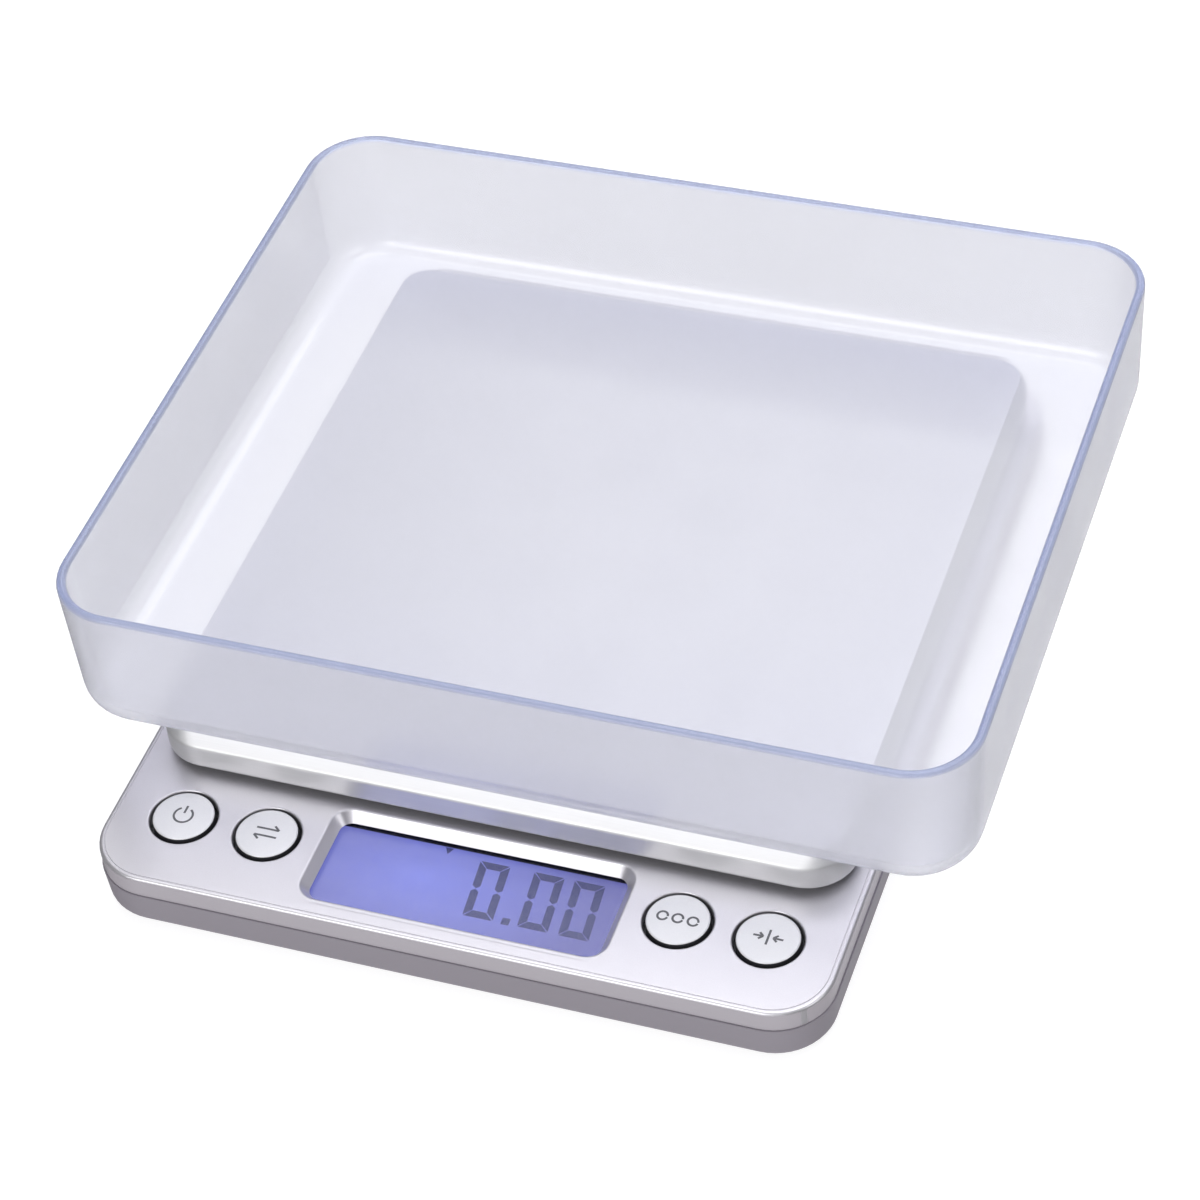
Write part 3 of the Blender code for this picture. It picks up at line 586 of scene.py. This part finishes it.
# Grey enamel rubbed into the engraved marks, thin and a little uneven.
mark_enamel = grained("grey_mark_enamel", "#4E4E52", "#707074", (0.5, 0.6), 0.35, 0.002)


def ribbon(path, width, top, depth=0.12):
    """A flat strip carried along a path in plan: at each point the section stands across the direction
    from the point before to the one after, half the width to each side. Its ends are closed."""
    path = np.asarray(path, float)
    if len(path) == 2:
        path = path[0] + np.linspace(0, 1, 12)[:, None] * (path[1] - path[0])
    ahead = np.gradient(path, axis=0)
    ahead /= np.linalg.norm(ahead, axis=1)[:, None]
    across = np.column_stack([-ahead[:, 1], ahead[:, 0]]) * width / 2
    height = top(path) if callable(top) else np.full(len(path), top)
    left, right = path + across, path - across
    rows = np.stack(
        [
            np.column_stack([left, height]), np.column_stack([right, height]),
            np.column_stack([right, height - depth]), np.column_stack([left, height - depth]),
        ],
        axis=1,
    )
    return [skin(rows), cap(rows[0]), cap(rows[-1])]


def arc_path(radius, start, end, at=(0, 0), steps=24):
    """Points on a circle between two angles in degrees."""
    angle = np.radians(np.linspace(start, end, steps + 1))
    return np.column_stack([np.cos(angle), np.sin(angle)]) * radius + at


marks = {
    "power": [arc_path(1.35, 122, 418), [(0, 0.35), (0, 1.75)]],
    "mode": [
        [(-1.7, 0.65), (1.6, 0.65)], [(0.8, 1.35), (1.65, 0.65)],
        [(1.7, -0.65), (-1.6, -0.65)], [(-0.8, -1.35), (-1.65, -0.65)],
    ],
    "count": [arc_path(0.72, 0, 345, (x, 0)) for x in (-2.15, 0, 2.15)],
    "tare": [
        [(0, -1.3), (0, 1.3)],
        [(-2.1, 0), (-0.75, 0)], [(-1.3, 0.55), (-0.7, 0)], [(-1.3, -0.55), (-0.7, 0)],
        [(2.1, 0), (0.75, 0)], [(1.3, 0.55), (0.7, 0)], [(1.3, -0.55), (0.7, 0)],
    ],
}
crown_radius = np.linspace(0, 3.9, 8)
crown_points = np.column_stack([crown_radius, cap_top - crown * crown_radius**2])
rim_points = filleted(
    [crown_points[-1], (cap_radius, cap_top - 0.19), (cap_radius, flange_top), (flange_radius, flange_top),
     (flange_radius, flange_low), (0, flange_low)],
    [0.34, 0.1, 0.15, 0.15], steps=5, lead=0.04,
)
for control, at in button_at.items():
    rows = turned(np.concatenate([crown_points[:-1], rim_points]), at, 64)
    button = make_piece(f"cap_{control}", cap_plastic, skin(rows))
    place(button, f"{control}_button", "cap_plastic", f"button_{control}")
    strips = []
    for path in marks[control]:
        strips += ribbon(
            np.asarray(path, float) + at, mark_width,
            lambda points, at=at: cap_top + mark_lift - crown * ((points - at) ** 2).sum(1),
        )
    mark = make_piece(f"mark_{control}", mark_enamel, *strips)
    place(mark, f"{control}_button", "cap_plastic")


# ---------------------------------------------------------------- platform
# A shallow pressed cover of satin silver sheet: a flat top, a slope that is wide at the front and back
# and narrow at the sides, and an upright skirt. It is glued to the carrier that bolts to the load cell.

plate_at, plate_half, plate_radius = middle_of("platform_plate"), np.array([51.0, 53.1]), 7.3
skirt_low, slope_foot, plate_top, slope, sheet = 11.4, 15.4, 18.0, 3.1, 0.8
side_share = (0.29, 1.0)

# Sheet metal brushed along its width and coated matt: faint streaks in a soft, wide highlight.
# The scratches are drawn 0.16 mm wide, several times the real ones, so that they show.
brushed_sheet = grained(
    "brushed_silver_sheet", "#D6D6D6", "#E0E0E0", (0.40, 0.48), 0.16, 0.0008, stretch=(0.012, 1, 1),
    values={"Metallic": 0.75},
)

outer_plate = filleted(
    [(slope + 1.5, plate_top), (slope, plate_top), (0, slope_foot), (0, skirt_low), (0.9, skirt_low)],
    [0.9, 0.7, 0.7],
)
inner_plate = filleted(
    [(0.2, skirt_low), (0, skirt_low + 0.2), (0, slope_foot - 0.3), (slope, plate_top - sheet),
     (slope + 1.5, plate_top - sheet)],
    [0, 0.3, 0.5],
)
outer_rows = carried(outer_plate, plate_half, plate_radius, plate_at, side_share)
inner_rows = carried(inner_plate, plate_half - sheet, plate_radius - sheet, plate_at, side_share)
plate_rows = np.concatenate([outer_rows, inner_rows])
plate = make_piece(
    "platform_cover", brushed_sheet, skin(plate_rows), cap(plate_rows[0]), cap(plate_rows[-1])
)
place(plate, "platform", "plate_metal", "platform_plate")


# ---------------------------------------------------------------- tray
# A loose box moulded in clear random polypropylene, milky and blued to hide its yellow. Its walls lean
# outwards a little, the floor's edge is well rounded and the rim is plain. It only rests on the platform.

tray_at = middle_of("tray")
tray_low, tray_high, tray_wall, tray_radius = 18.3, 41.0, 1.4, 10.0
rim_half, draft, tray_fillet = np.array([65.8, 55.05]), 0.6, 4.5

# Clarified polypropylene: a satin skin over a milky body that scatters a quarter of the light, so that
# walls look like pale lavender mist, and a blue tint that gathers where the eye looks along a wall.
milky_plastic, tree, shader = new_finish(
    "milky_clear_polypropylene",
    {"IOR": 1.49, "Transmission Weight": 0.76},
)
coordinates = add(tree, "ShaderNodeTexCoord")
flow = add(
    tree, "ShaderNodeTexNoise", {"Scale": 1 / (14 * MM), "Detail": 2.0},
    {"Vector": coordinates.outputs["Object"]},
)
haze = add(
    tree, "ShaderNodeMapRange",
    {"From Min": noise_low, "From Max": noise_high, "To Min": 0.2, "To Max": 0.26},
    {"Value": flow.outputs["Fac"]},
)
tree.links.new(haze.outputs["Result"], shader.inputs["Roughness"])
# Painted light: the blue of light piped up inside the walls and leaving at the rim is painted into the
# colour at the top of the walls.
spot = add(tree, "ShaderNodeSeparateXYZ", (), {"Vector": coordinates.outputs["Object"]})
rim_light_from, rim_light_full = 40.3, 40.9
rim = add(
    tree, "ShaderNodeMapRange", {"From Min": rim_light_from * MM, "From Max": rim_light_full * MM},
    {"Value": spot.outputs["Z"]},
)
body = add(
    tree, "ShaderNodeMix", {6: linear("#E6E6EA"), 7: linear("#C3D0F8")}, {0: rim.outputs["Result"]},
    data_type="RGBA",
)
tree.links.new(body.outputs[2], shader.inputs["Base Color"])
let_lamps_through(tree, shader, linear("#F2F3FA"))
blueing = add(tree, "ShaderNodeVolumeAbsorption", {"Color": linear("#9FAEF4"), "Density": 12.0})
tree.links.new(blueing.outputs["Volume"], tree.nodes["Material Output"].inputs["Volume"])

outer_edge = filleted(
    [(8.0, tray_low), (draft, tray_low), (0, tray_high), (tray_wall, tray_high),
     (draft + tray_wall, tray_low + tray_wall), (9.0, tray_low + tray_wall)],
    [tray_fillet, 0.66, 0.66, tray_fillet - tray_wall], steps=9, lead=0.02,
)
tray_rows = carried(outer_edge, rim_half, tray_radius, tray_at)
tray = make_piece("clear_tray", milky_plastic, skin(tray_rows), cap(tray_rows[0]), cap(tray_rows[-1]))
place(tray, "tray", "clear_plastic", "tray")


# ---------------------------------------------------------------- battery door
# Grey ABS lid over the two cells, flush with the underside. Two hooks at its front edge hold it and a
# springy latch at its back snaps under the floor; five raised bars give the finger a grip.

door_at = base_at + (0, 40.0)
door_half, door_low, door_high = np.array([25.2, 10.8]), 1.2, 2.4
door_profile = filleted(
    [(1.6, door_low), (0, door_low), (0, door_high), (1.6, door_high)], [0.25, 0.1], steps=4, lead=0.05
)
door_rows = carried(door_profile, door_half, 1.0, door_at)
bar_profile = filleted([(0, door_low + 0.05), (0, 1.02), (0.3, 1.02)], [0.12], steps=3, lead=0.02)
surfaces = [skin(door_rows), cap(door_rows[0]), cap(door_rows[-1])]
bar_count, bar_first, bar_pitch = 5, 8.6, 1.5
for step in range(bar_count):
    rows = carried(bar_profile, (7.0, 0.45), 0.4, door_at + (0, bar_first - bar_pitch * step))
    surfaces += [skin(rows), cap(rows[0]), cap(rows[-1])]
hook_front, hook_low, hook_high, riser_low = base_at[1] + 29.2, 3.1, 3.9, door_high - 0.2
for x in (-15, 15):
    hook_at = np.array([base_at[0] + x, hook_front])
    riser = hook_at + [0, 0.6] + outline(3.0, 0.6, 0.1, turn=2, lead=0.05)
    hook = hook_at + [0, -0.5] + outline(3.0, 1.3, 0.2, turn=2, lead=0.05)
    surfaces += slab_of(riser, riser_low, hook_high) + slab_of(hook, hook_low, hook_high)
latch_at = base_at + (0, 50.1)
surfaces += slab_of(latch_at + outline(4.5, 0.5, 0.2, turn=2, lead=0.05), riser_low, 4.2)
door = make_piece("battery_lid", grey_abs, *surfaces)
place(door, "battery_door", "grey_abs", "battery_door")


# ---------------------------------------------------------------- feet
# Four moulded rubber discs pressed into the recesses of the lower shell. They stand 1.2 mm proud.

# Black rubber, matt, with the fine pitting of its mould.
rubber = grained("black_rubber", "#17171A", "#232326", (0.75, 0.9), 0.25, 0.01)

foot_profile = filleted(
    [(0, 0), (2.2, 0), (3.2, 0.0), (5.0, 0), (5.0, 1.5), (0, 1.5)], [0, 0, 0.45, 0.1], steps=5, lead=0.05
)
for number, at in enumerate(feet, 1):
    foot = make_piece(f"rubber_foot_{number}", rubber, skin(turned(foot_profile, at)))
    place(foot, "base", "rubber", f"foot_{number}")


# ---------------------------------------------------------------- screws seen from below
# Zinc-plated steel tapping screws with a cross recess. Four close the housing and two, in their own
# recesses, hold the fixed end of the load cell.

# Bright zinc plate over rolled steel: cool grey metal with small dull patches.
zinc_steel = grained(
    "zinc_plated_steel", "#8E9094", "#B4B6BA", (0.28, 0.42), 0.4, 0.002, values={"Metallic": 1.0}
)


def cross(arm, thick):
    """A cross in plan, as twelve corners."""
    corner = np.array([(arm, thick), (thick, thick), (thick, arm)])
    return np.concatenate([corner, corner[::-1] * (-1, 1), -corner, corner[::-1] * (1, -1)])


def make_screw(at, head_radius, shank_radius, tip):
    """A head with a tapered cross recess, then a shank and point turned about the same axis."""
    head_low, head_high = 1.5, 2.9
    side = filleted(
        [
            (head_radius * 0.86, head_low), (head_radius, head_low), (head_radius, head_high),
            (shank_radius, head_high), (shank_radius, tip - 1.2), (shank_radius * 0.3, tip), (0, tip),
        ],
        [0.25, 0.08, 0, 0, 0], steps=4, lead=0.02,
    )
    rows = turned(side, at, 32)
    arm, thick = head_radius * 0.58, head_radius * 0.12
    mouth_of_cross = upright(at + cross(arm, thick), head_low)[0]
    foot_of_cross = upright(at + cross(arm * 0.45, thick * 0.8), head_low + 0.9)[0]
    return [
        skin(rows), skin(np.stack([mouth_of_cross, foot_of_cross])), cap(foot_of_cross),
        flat(rows[0], mouth_of_cross),
    ]


for number, at in enumerate(posts, 1):
    screw = make_piece(f"case_screw_{number}", zinc_steel, *make_screw(at, 2.2, 0.9, 10.5))
    place(screw, "base", "steel", f"housing_screw_{number}")
for number, x in enumerate(cell_x, 1):
    at = base_at + (-x, cell_y)
    screw = make_piece(f"cell_screw_{number}", zinc_steel, *make_screw(at, 2.5, 1.3, 9.5))
    place(screw, "base", "steel", f"load_cell_screw_{number}")


# ---------------------------------------------------------------- batteries
# Two AAA cells, laid opposite ways: a drawn steel can in a shrunk plastic sleeve, with a bare nub at
# one end and a bare flat at the other.

can_radius, can_length, nub_radius = 5.25, 44.5, 1.9
sleeve_profile = filleted(
    [(0, 0), (can_radius - 0.9, 0), (can_radius, 0.35), (can_radius, can_length - 0.8),
     (nub_radius, can_length - 0.8), (nub_radius, can_length), (0, can_length)],
    [0.2, 0.3, 0.5, 0, 0.3], steps=4, lead=0.05,
)

# Shrunk PVC sleeve, dark blue with a copper band at each end: glossy, with a faint wrinkle.
sleeve, tree, shader = new_finish("printed_battery_sleeve", {"Roughness": 0.22, "IOR": 1.53})
coordinates = add(tree, "ShaderNodeTexCoord")
along = add(tree, "ShaderNodeSeparateXYZ", (), {"Vector": coordinates.outputs["Object"]})
from_middle = add(
    tree, "ShaderNodeMath", {1: base_at[0] * MM}, {0: along.outputs["X"]}, operation="SUBTRACT"
)
distance = add(tree, "ShaderNodeMath", (), {0: from_middle.outputs[0]}, operation="ABSOLUTE")
band_from = 13
band = add(tree, "ShaderNodeMath", {1: band_from * MM}, {0: distance.outputs[0]}, operation="GREATER_THAN")
ends = add(
    tree, "ShaderNodeMix", {6: linear("#16203A"), 7: linear("#A8703C")}, {0: band.outputs[0]},
    data_type="RGBA",
)
wrinkle = add(
    tree, "ShaderNodeTexNoise", {"Scale": 1 / (3 * MM)}, {"Vector": coordinates.outputs["Object"]}
)
lift = add(
    tree, "ShaderNodeBump", {"Strength": 0.6, "Distance": 0.02 * MM}, {"Height": wrinkle.outputs["Fac"]}
)
tree.links.new(ends.outputs[2], shader.inputs["Base Color"])
tree.links.new(lift.outputs["Normal"], shader.inputs["Normal"])

for number, side in ((1, 1), (2, -1)):
    low, high = (np.array(corner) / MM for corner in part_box(f"battery_{number}"))
    upright_can = turned(sleeve_profile, (0, 0), 48)
    start = low[0] if side > 0 else high[0]
    lying = np.stack(
        [start + side * upright_can[:, :, 2], upright_can[:, :, 1], upright_can[:, :, 0]], axis=2
    )
    lying[:, :, 1:] += (low[1:] + high[1:]) / 2
    cell = make_piece(f"cell_{number}", sleeve, skin(lying))
    place(cell, "base", "battery_sleeve", f"battery_{number}")


# ---------------------------------------------------------------- parts inside the housing
# The load cell, its carrier, the board, the switches, the contacts and the leads keep the solids of the
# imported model. Each takes the finish of its real material.

# Glass-filled ABS left as moulded: black-grey, matt.
dark_abs = grained("dark_abs_moulded", "#2B2B2E", "#3A3A3D", (0.5, 0.65), 0.3, 0.006, values={"IOR": 1.53})
# Milled aluminium bar: long fine tool marks.
milled_aluminium = grained(
    "milled_aluminium", "#A9ABAE", "#C8CACD", (0.28, 0.4), 0.2, 0.003, stretch=(0.05, 1, 1),
    values={"Metallic": 1.0},
)
# White silicone potted over the strain gauges: soft, satin, slightly lumpy.
silicone = grained("white_silicone", "#D9D7D0", "#E8E6E0", (0.45, 0.6), 1.2, 0.05)
# Nickel-plated spring steel: warm bright metal.
nickel = grained("nickel_plate", "#A39C90", "#C2BBAF", (0.2, 0.35), 0.3, 0.002, values={"Metallic": 1.0})
# Glass-epoxy board under green solder mask: glossy, the weave just showing.
solder_mask = grained("green_solder_mask", "#0F4A24", "#1A6B36", (0.2, 0.35), 0.6, 0.004)
# Clear light guide behind the LCD: pale violet, satin.
light_guide = grained("light_guide_acrylic", "#8A8BD8", "#A6A7EE", (0.2, 0.3), 0.8, 0.002)
# Conductive rubber strip: dark, matt.
zebra_rubber = grained(
    "conductive_rubber", "#1E1E20", "#3C3C40", (0.7, 0.8), 0.1, 0.002, stretch=(1, 0.1, 1)
)
# PVC insulation drawn over stranded copper: glossy and slightly waxy.
wire_grey = grained("grey_pvc_insulation", "#77787B", "#8A8B8E", (0.35, 0.5), 0.5, 0.003)
wire_red = grained("red_pvc_insulation", "#A31B1B", "#BE2A26", (0.35, 0.5), 0.5, 0.003)
wire_black = grained("black_pvc_insulation", "#161617", "#232325", (0.35, 0.5), 0.5, 0.003)

inside_finish = {
    dark_abs: ["platform_carrier", "lcd_frame", *[f"plunger_{name}" for name in button_at]],
    zinc_steel: ["carrier_screw_1", "carrier_screw_2", *[f"switch_{name}" for name in button_at]],
    milled_aluminium: ["load_cell"],
    silicone: ["gauge_sealant"],
    nickel: [
        "contact_plate_negative", "contact_plate_positive", "contact_bridge",
        "contact_spring_1", "contact_spring_2",
    ],
    solder_mask: ["main_board"],
    light_guide: ["backlight_panel"],
    zebra_rubber: ["zebra_strip"],
    wire_grey: ["load_cell_wires"],
    wire_red: ["battery_lead_positive"],
    wire_black: ["battery_lead_negative"],
}
for material, names in inside_finish.items():
    for name in names:
        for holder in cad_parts[name].material_slots:
            holder.material = material


# ---------------------------------------------------------------- stage
# A plain white floor under soft boxes: one wide overhead, one at the front left and a lower fill on the
# right. The camera looks down from the front, a little to the right, and is slightly tilted.

sweep_material, tree, shader = new_finish(
    "white_sweep",
    {
        "Base Color": (0.35, 0.35, 0.35, 1), "Roughness": 0.9,
        "Emission Color": (1, 1, 1, 1), "Emission Strength": 0.8,
    },
)
sweep_mesh = bpy.data.meshes.new("sweep")
sweep_reach = 3.0
sweep_mesh.from_pydata(
    np.array([(-1, -1, 0), (1, -1, 0), (1, 1, 0), (-1, 1, 0)]) * sweep_reach, [], [(0, 1, 2, 3)]
)
sweep_mesh.materials.append(sweep_material)
sweep = bpy.data.objects.new("sweep", sweep_mesh)
bpy.context.scene.collection.objects.link(sweep)
sweep.visible_glossy = False

world = bpy.data.worlds.new("studio")
world.use_nodes = True
tree = world.node_tree
backdrop = tree.nodes["Background"]
backdrop.inputs["Color"].default_value = (0.98, 0.98, 1.0, 1)
direction = add(tree, "ShaderNodeTexCoord")
parts = add(tree, "ShaderNodeSeparateXYZ", (), {"Vector": direction.outputs["Generated"]})
sideways = add(tree, "ShaderNodeMath", (), {0: parts.outputs["X"]}, operation="ABSOLUTE")
# The studio is bright in front, behind and above, and has black flags on its left and right.
flag_from, flag_full, studio_level, flag_level = 0.3, 0.6, 0.75, 0.12
strength = add(
    tree, "ShaderNodeMapRange",
    {"From Min": flag_from, "From Max": flag_full, "To Min": studio_level, "To Max": flag_level},
    {"Value": sideways.outputs[0]},
)
tree.links.new(strength.outputs["Result"], backdrop.inputs["Strength"])
bpy.context.scene.world = world
bpy.context.scene.view_settings.view_transform = "Standard"


def soft_box(name, place_at, aim, size, power):
    """A rectangular area lamp that faces the aim point."""
    lamp = bpy.data.lights.new(name, "AREA")
    lamp.shape = "RECTANGLE"
    lamp.size, lamp.size_y = size
    lamp.energy = power
    box = bpy.data.objects.new(name, lamp)
    box.location = place_at
    box.rotation_euler = (Vector(place_at) - Vector(aim)).to_track_quat("Z", "Y").to_euler()
    bpy.context.scene.collection.objects.link(box)


soft_box("overhead", (0.05, 0.3, 0.75), (0, 0, 0), (0.9, 0.8), 4.0)
soft_box("front", (-0.25, -0.8, 0.55), (0, 0, 0), (0.6, 0.4), 2.6)
soft_box("right_fill", (0.9, -0.2, 0.5), (0, 0, 0), (0.5, 0.5), 1.5)

azimuth, elevation, roll = np.radians([23.390, 44.536, -6.460])
camera_target, camera_distance = np.array([0.436, -4.04, 18.4]) * MM, 516.969 * MM
backward = np.array(
    [math.sin(azimuth) * math.cos(elevation), -math.cos(azimuth) * math.cos(elevation), math.sin(elevation)]
)
level = np.array([math.cos(azimuth), math.sin(azimuth), 0.0])
upward = np.cross(backward, level)
across = math.cos(roll) * level + math.sin(roll) * upward
above = math.cos(roll) * upward - math.sin(roll) * level
camera = bpy.data.objects.new("camera", bpy.data.cameras.new("camera"))
camera.data.lens, camera.data.sensor_width = 108.11, 36.0
camera.data.clip_start = 0.01
placed = np.eye(4)
placed[:3, 0], placed[:3, 1], placed[:3, 2] = across, above, backward
placed[:3, 3] = camera_target + camera_distance * backward
camera.matrix_world = placed.T
bpy.context.scene.collection.objects.link(camera)
bpy.context.scene.camera = camera

bpy.context.view_layer.update()
